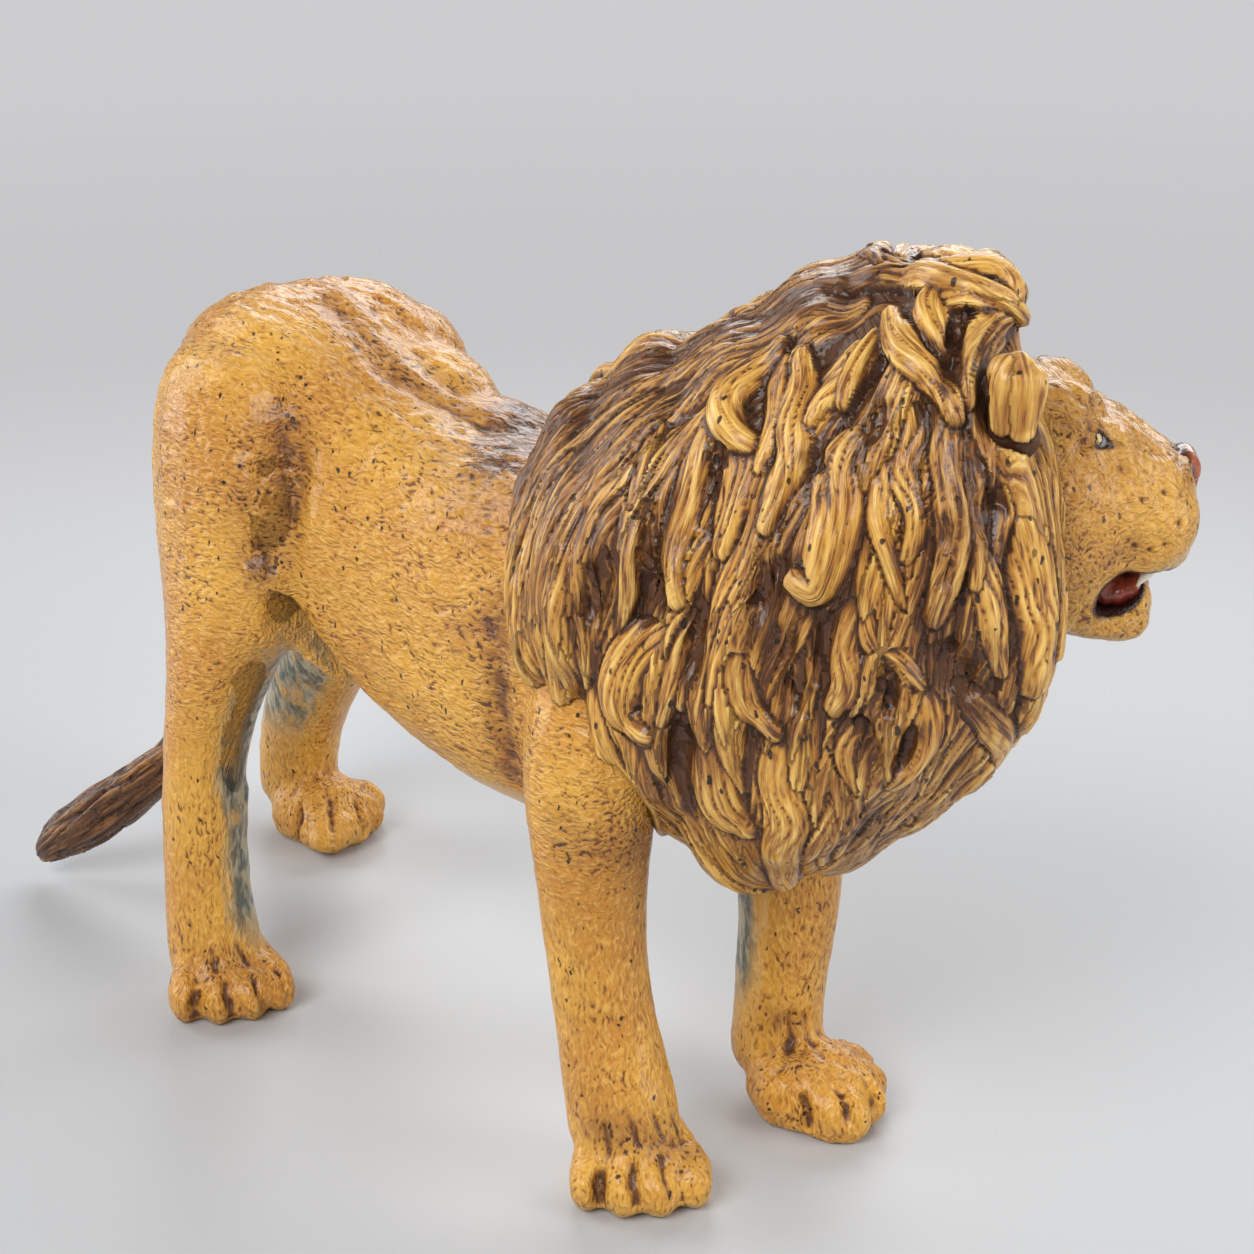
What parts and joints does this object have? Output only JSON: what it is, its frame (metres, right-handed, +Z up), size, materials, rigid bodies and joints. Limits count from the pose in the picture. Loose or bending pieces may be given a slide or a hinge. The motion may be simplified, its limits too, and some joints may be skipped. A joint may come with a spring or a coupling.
{
  "type": "toy lion figure",
  "caption": "Standing moulded plastic lion figure with a thick sculpted mane, its head turned to its left with an open mouth, hand-painted and free-standing on its paws.",
  "frame": {"origin": "under the middle of the figure's box, at the level its paws stand on", "axes": "+X along the body towards the chest, +Y to the lion's left, +Z up"},
  "size_m": [0.2246, 0.0836, 0.1499],
  "materials": {
    "body": "semi-gloss ochre paint over fine moulded fur, dark wash in the hollows",
    "mane": "semi-gloss ochre paint on striated locks, dark brown in the hollows",
    "tail": "semi-gloss dark brown with a reddish tip",
    "tongue": "wet-looking gloss red",
    "nose": "semi-gloss red-orange with a dark rim",
    "tooth": "gloss cream",
    "eye": "high-gloss dark with a yellow-green iris"
  },
  "bodies": {
    "root": {"body_left": "body", "body_right": "body", "hind_right_leg": "body", "hind_left_leg": "body", "front_right_leg": "body", "front_left_leg": "body", "face": "body", "lower_jaw": "body", "ear_right": "body", "ear_left": "body", "mane": "mane", "tail": "tail", "tongue": "tongue", "nose_pad": "nose", "eye_right": "eye", "eye_left": "eye", "canine_right": "tooth", "canine_left": "tooth"}
  },
  "joints": []
}
